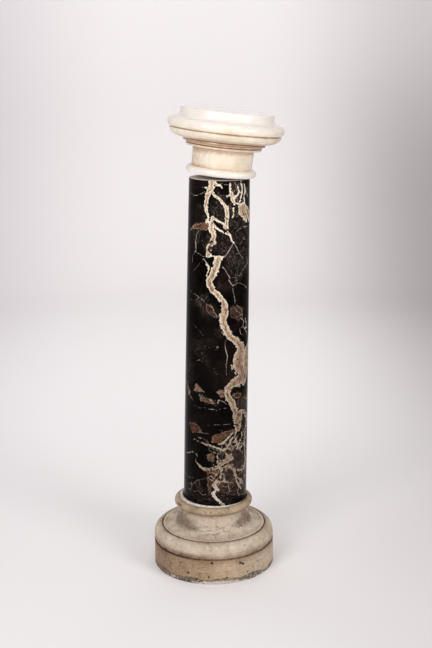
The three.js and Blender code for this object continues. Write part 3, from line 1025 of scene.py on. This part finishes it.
def make_base():
    profile = stepped(blunted(base_profile(), 0.9), 1.7)
    base = turned_piece("limestone_base", profile, limestone_finish(), 390, 0.5, 3)
    points = points_of(base)
    turn, rise = around(points), points[:, 2].copy()
    chance = np.random.default_rng(11)
    chipped = np.zeros(len(points))
    # Wear and small breaks all round the lower arris, and a few on the drum's upper one
    for count, height, slope, depth, coarse in (
        (70, 0, (-1.6, -0.5), (0.3, 1.3), 0.8),
        (14, DRUM_HEIGHT, (0.5, 1.2), (0.4, 1.1), 0.3),
    ):
        for _ in range(count):
            at = math.radians(chance.uniform(0, 360))
            away = on_ring(at, 1, chance.uniform(*slope))
            spot = on_ring(at, DRUM_RADIUS, height)
            chipped += break_off(points, spot, away, chance.uniform(*depth), coarse, chance.integers(99))
    at = math.radians(-62)
    loss = break_off(points, on_ring(at, ASTRAGAL_RADIUS, BASE_HEIGHT - 6), on_ring(at, 1, 0.6), 1.2, 0.3, 5)
    points[:, 2] = np.maximum(points[:, 2], 0)
    move_points(base, points)

    outer = np.hypot(points[:, 0], points[:, 1]) > DRUM_RADIUS - 6
    # Dirt and painted shade: dark rings in the grooves, under the astragal and at the plaster bed, and darker
    # patches about the drum and the mouldings
    grime_and_shade = rings(points, [
        (DRUM_RADIUS - 3, DRUM_HEIGHT + QUIRK_WIDTH / 2, 4.6, 1.25),
        (DRUM_RADIUS - 2, DRUM_HEIGHT + QUIRK_WIDTH, 22, 0.5),
        (DRUM_RADIUS - 2, DRUM_HEIGHT - 1, 9, 0.5),
        (TORUS_TOP_RADIUS - 1, TORUS_TOP - 1.5, 4.6, 1.45),
        (TORUS_TOP_RADIUS + 2, TORUS_TOP, 16, 0.45),
        (SCOTIA_NECK + 3, SCOTIA_TOP + 1, 9, 0.95),
        (SCOTIA_NECK + 8, ASTRAGAL_FOOT, 7, 1.0),
        (SCOTIA_NECK + 4, SCOTIA_TOP, 22, 0.45),
        (BED_RADIUS + 1, BASE_HEIGHT, 6, 0.5),
    ])
    grime_and_shade += outer * blobs(turn, rise, [(0.4, -60, 34, 26, 60), (0.25, 130, 34, 40, 60)]) + 0.5 * (loss > 0.2)
    grime_and_shade += blobs(turn, rise, [(0.34, -30, TORUS_FOOT + 5, 26, 9), (0.2, 48, TORUS_FOOT + 9, 30, 10),
                                (0.3, -70, 150, 30, 30), (0.22, 72, 150, 24, 30)])
    paint(base, "grime_and_shade", grime_and_shade)
    paint(base, "soot", blobs(turn, rise, SOOT) * (rise > LIP_HEIGHT - 1) * (rise < ASTRAGAL_FOOT + 2))
    bleached = blobs(turn, rise, [(0.5, 58, 32, 34, 34), (0.3, -58, 86, 34, 16)])
    bleached += rings(points, [(LIP_RADIUS - 2.5, LIP_HEIGHT, 4, 0.6)])
    paint(base, "bleached", np.clip(bleached, 0, 0.6))
    left, right, behind = (blob(turn, 0, at, 0, reach, 1) for at, reach in ((-54, 42), (52, 30), (180, 90)))
    band = 0.4 + np.maximum(left, right) + 0.8 * behind
    edge = 16 + 5 * blob(turn, 0, -56, 0, 40, 1)
    edge += 4 * np.sin(np.radians(turn * 3 + 40)) + 2.5 * np.sin(np.radians(turn * 11))
    paint(base, "foot", outer * np.clip(band, 0, 1) * np.clip((edge - rise) / 7, 0, 1))
    strip = blobs(turn, rise, [(1, 4, 2, 24, 8), (0.6, 60, 4, 50, 7), (0.55, -50, 4, 34, 7)])
    paint(base, "chipped", np.clip(chipped * 0.6, 0, 0.3) * outer + 0.75 * strip * outer)
    pits = np.full(len(points), 9.0)
    for at_turn, at_rise, size in PITS:
        gap = np.hypot(turn_apart(turn, at_turn) * DRUM_MM_PER_DEGREE, rise - at_rise)
        pits = np.minimum(pits, gap - size)
    pits[~outer] = 9
    paint(base, "pit", pits)
    scratch, _ = distance_to_lines(turn, rise + 1.5 * rough(points, 8, 12), SCRATCHES, 100)
    scratch[(rise < LIP_HEIGHT) | (rise > ASTRAGAL_FOOT)] = 20
    paint(base, "scratch", scratch)
    smooth(base)
    return base


def make_plaster_bed():
    profile = [(0, 0), (BED_RADIUS, 0), (BED_RADIUS, BED_THICKNESS), (0, BED_THICKNESS)]
    profile = stepped(blunted(profile, 0.8), 0.8, 8)
    bed = turned_piece("plaster_wedge", profile, plaster_finish(), 360, 0.3, 5)
    points = points_of(bed)
    slope = math.tan(SHAFT_LEAN) * (points[:, 0] - SHAFT_SHIFT)
    share = np.clip(points[:, 2] / BED_THICKNESS, 0, 1)
    # Squeezed out unevenly: the rim is broken in and out
    radius = np.hypot(points[:, 0], points[:, 1])
    ragged = np.clip(rough(points, 9, 4), -1, 1) * 1.6 - 1.2
    keep = 1 + np.where(radius > 78, ragged, 0) / np.maximum(radius, 1)
    points[:, :2] *= keep[:, None]
    points[:, 2] += BASE_HEIGHT + CONTACT - slope * share
    move_points(bed, points)
    smooth(bed)
    return bed


# The fragments' colours
TINTS = {
    "pink": rgb(178, 142, 122),
    "tan": rgb(156, 126, 100),
    "rust": rgb(116, 74, 54),
    "orange": rgb(156, 110, 84),
    "smoke": rgb(56, 41, 33),
    "grey": rgb(62, 56, 58),
}

# How clearly the edges of the fragments show, where it isn't fully
RINDS = {"smoke": 0.25, "grey": 0.5}


def make_shaft():
    profile = stepped(shaft_profile(), 2.55)
    shaft = turned_piece("black_marble_shaft", profile, black_marble_finish(), 290, 0.35, 7)
    points = points_of(shaft)
    turn, rise = around(points), points[:, 2]
    # Every drawn line sways a little
    sways = turn + 1.5 * rough(points, 11, 2) / SHAFT_MM_PER_DEGREE, rise + 1.5 * rough(points, 11, 8)
    behind, behind_fine = veins_behind(31)
    bold, width = distance_to_lines(*sways, BOLD_VEINS, SHAFT_RADIUS, SLIP)
    back, back_width = distance_to_lines(*sways, behind, SHAFT_RADIUS)
    paint(shaft, "bold_vein", np.clip(np.minimum(bold, back), -25, 25))
    paint(shaft, "vein_width", np.where(back < bold, back_width, width))
    fine, _ = distance_to_lines(*sways, FINE_VEINS + behind_fine, SHAFT_RADIUS)
    paint(shaft, "fine_vein", np.clip(fine, -3, 12))
    paint(shaft, "sawn_and_painted_light", rise > SHAFT_LENGTH - TOP_ARRIS / 2)
    outlines = [(tint, outline) for tint, group in FRAGMENTS.items() for outline in group]
    gaps = np.array([distance_to_outline(*sways, outline, SHAFT_RADIUS) for _, outline in outlines])
    tints = [outlines[k][0] for k in gaps.argmin(axis=0)]
    paint(shaft, "fragment", np.clip(gaps.min(axis=0), -10, 10))
    paint_colour(shaft, "fragment_tint", [TINTS[tint] for tint in tints])
    paint(shaft, "rind", [RINDS.get(tint, 1) for tint in tints])
    paint(shaft, "bright", blob(turn, rise, 4, 26, 16, 30))
    for name, places in (("broken", BROKEN), ("smoky_and_sheen", SMOKY_AND_SHEEN), ("shattered", SHATTERED)):
        paint(shaft, name, np.clip(blobs(turn, rise, places), 0, 1))
    place(shaft, SHAFT_LEAN, (SHAFT_SHIFT, 0, BASE_HEIGHT + 2 * CONTACT + BED_THICKNESS))
    smooth(shaft)
    return shaft


def make_capital():
    profile = stepped(blunted(capital_profile(), 0.8), 1.75)
    capital = turned_piece("white_marble_capital", profile, white_marble_finish(), 370, 0.4, 9)
    points = points_of(capital)
    turn, rise = around(points), points[:, 2].copy()
    radius = np.hypot(points[:, 0], points[:, 1])
    # The break in the collar
    side, slope = math.radians(-BREAK_ANGLE), math.radians(BREAK_SLOPE)
    roll = COLLAR_HEIGHT / 2
    away = on_ring(side, math.cos(slope), -math.sin(slope))
    middle = on_ring(side, COLLAR_RADIUS - roll, roll)
    fresh = break_off(points, middle + away * roll, away, BREAK_DEPTH, 0.5, 21)
    # Small losses along the table's edge
    chance = np.random.default_rng(23)
    spots = [(22, 2.2), (31, 0.9), (-38, 0.8), (120, 1.6), (205, 1.1), (-110, 1.4)]
    spots += [(chance.uniform(-180, 180), chance.uniform(0.3, 0.8)) for _ in range(14)]
    for at_deg, depth in spots:
        at = math.radians(at_deg)
        spot, away = on_ring(at, TABLE_RADIUS, TABLE_TOP), on_ring(at, 1, 0.9)
        fresh += 0.2 * break_off(points, spot, away, depth + 0.6, 0.4, int(chance.integers(99)))
    points[:, 2] = np.maximum(points[:, 2], 0)
    move_points(capital, points)

    # Dirt and painted shade: tan on the small mouldings, dark rings in the grooves and corners under the rim,
    # the ovolo and the bead and at the neck's ends, and darker patches on the neck's left and the ovolo's
    # right. The bead's face is kept lighter.
    small = (rise > BEAD_FOOT - 3) & (rise < OVOLO_START + 6) & (radius > NECK_TOP + 2)
    groove = OVOLO_END + RIM_GROOVE / 2
    grime_and_shade = np.maximum(0.5 * small, rings(points, [
        (OVOLO_TOP - 3.5, groove, 3.0, 0.95),
        (OVOLO_TOP - 1, groove, 8, 0.3),
        (CAVETTO_FILLET_RADIUS + 1, OVOLO_START, 5.2, 1.45),
        (CAVETTO_FILLET_RADIUS + 6, OVOLO_START, 15, 0.42),
        (CAVETTO_FILLET_RADIUS - 1, CAVETTO_TOP, 3.2, 1.2),
        (BEAD_RADIUS + 1, BEAD_TOP + 1.5, 3.4, 1.25),
        (NECK_TOP + 5, BEAD_FOOT - 1, 5.4, 1.2),
        (NECK_TOP + 1, NECK_TOP_HEIGHT, 12, 0.5),
        (NECK_FOOT + 1, COLLAR_HEIGHT + 0.5, 2.2, 0.8),
        (NECK_FOOT + 1, COLLAR_HEIGHT + 0.5, 8, 0.3),
        (COVE_FOOT, COVE_START, 3, 0.3),
    ]))
    grime_and_shade += blobs(turn, rise, [(0.36, -72, COLLAR_HEIGHT + 20, 40, 28), (0.24, 62, OVOLO_START + 8, 40, 12)])
    bead = (rise > BEAD_FOOT + 0.2) & (rise < BEAD_TOP - 0.2) & (radius > BEAD_RADIUS - 1.5)
    paint(capital, "grime_and_shade", np.where(bead, np.minimum(grime_and_shade, 0.34), grime_and_shade))
    paint(capital, "fresh", np.clip(fresh * 1.2, 0, 1))
    cream = np.clip((RIM_TOP + 4 - rise) / 22, 0, 1) * np.clip((rise - 8) / 14, 0.2, 1)
    paint(capital, "cream", cream)
    paint(capital, "turned_side", np.clip((TABLE_TOP - 1 - rise) / 3, 0, 1))
    place(capital, CAPITAL_TILT, capital_foot())
    smooth(capital)
    return capital


def capital_foot():
    """Where the centre of the capital's foot stands, resting on the shaft's right edge."""
    foot = np.array([SHAFT_SHIFT, 0, BASE_HEIGHT + 2 * CONTACT + BED_THICKNESS])
    top = foot + SHAFT_LENGTH * np.array([math.sin(SHAFT_LEAN), 0, math.cos(SHAFT_LEAN)])
    edge_x = SHAFT_TOP * math.cos(SHAFT_LEAN) + CONTACT * math.sin(CAPITAL_TILT)
    edge_z = -SHAFT_TOP * math.sin(SHAFT_LEAN) + CONTACT * math.cos(CAPITAL_TILT)
    return top + np.array([CAPITAL_SHIFT, 0, edge_z + (edge_x - CAPITAL_SHIFT) * math.tan(CAPITAL_TILT)])


def make_stage():
    """A pale round studio: a floor that curves up into a pale wall all round."""
    sweep = [(0, 0), (1500, 0), (3000, 0), *arc(3000, 900, 900, 900, -80, 0, 10), (3900, 3600)]
    material, tree, shader, where = stone("Studio floor")
    split = put(tree, "ShaderNodeSeparateXYZ", {0: where})
    x, y, z = (Wire(tree, split.outputs[axis]) for axis in "XYZ")
    # Painted shade: the wall and floor darken behind to the right, less high up, and to the left, and the
    # floor darkens to the right of the column towards the front
    behind = between(y, -1.5, 0.5)
    to_right = between(x, 0.25, 1.3) * behind * between(z, 1.5, 0.4, 0.55, 1)
    to_left = between(x, -0.4, -1.6) * behind
    in_front = between(x, 0.0, 0.5, 0, 0.4) * between(y, 1.2, -0.2)
    shade = layered(rgb(238, 235, 235), (in_front, 204, 198, 196), (to_right, 172, 166, 166),
                    (to_left, 209, 205, 208))
    give(shader, {"Base Color": shade, "Roughness": 0.9})
    floor = turned_piece("studio_floor", sweep, material, 96, 0, 0)
    floor.data.shade_smooth()


def softbox(name, at, towards, size, power):
    lamp = bpy.data.lights.new(name, "AREA")
    lamp.shape = "RECTANGLE"
    lamp.size, lamp.size_y = size
    lamp.energy = power
    holder = bpy.data.objects.new(name, lamp)
    holder.location = at
    holder.rotation_euler = (Vector(towards) - Vector(at)).to_track_quat("-Z", "Y").to_euler()
    bpy.context.scene.collection.objects.link(holder)


def make_lights():
    bpy.context.scene.view_settings.view_transform = "Standard"
    world = bpy.data.worlds.new("Studio air")
    world.use_nodes = True
    air = world.node_tree.nodes["Background"].inputs
    air["Color"].default_value = (1.0, 0.98, 0.99, 1)
    air["Strength"].default_value = 0.5
    bpy.context.scene.world = world
    softbox("Key softbox", (-1.35, -2.2, 1.78), (0, 0, 0.65), (1.2, 2.1), 41)
    softbox("Fill softbox", (1.8, -1.7, 1.5), (0, 0, 0.6), (1.0, 1.6), 30)
    softbox("Wall light", (-0.1, 1.0, 3.0), (-0.1, 3.9, 0.9), (1.8, 0.8), 48)


def make_camera():
    """The photograph's view: 2.585 m away, 1.234 m up, looking down by 13.7 degrees."""
    yaw, pitch, roll = math.radians(0.238), math.radians(13.748), math.radians(-0.573)
    ahead = Vector((math.sin(yaw) * math.cos(pitch), math.cos(yaw) * math.cos(pitch), -math.sin(pitch)))
    right = Vector((math.cos(yaw), -math.sin(yaw), 0))
    upward = right.cross(ahead)
    tilted_right = right * math.cos(roll) + upward * math.sin(roll)
    tilted_up = -right * math.sin(roll) + upward * math.cos(roll)
    data = bpy.data.cameras.new("Camera")
    data.sensor_fit = "VERTICAL"
    data.sensor_height = 36
    data.lens = 62.254
    camera = bpy.data.objects.new("Camera", data)
    turn = Matrix((tilted_right, tilted_up, -ahead)).transposed().to_4x4()
    camera.matrix_world = Matrix.Translation((0, -2.5854, 1.2340)) @ turn
    bpy.context.scene.collection.objects.link(camera)
    bpy.context.scene.camera = camera


TURNING = turning_tree()
make_camera()
make_lights()
make_stage()

for piece, node, slot in (
    (make_base(), "base", "limestone"),
    (make_plaster_bed(), "plaster_bed", "plaster"),
    (make_shaft(), "shaft", "black_marble"),
    (make_capital(), "capital", "white_marble"),
):
    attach(piece, "root")
    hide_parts(node)
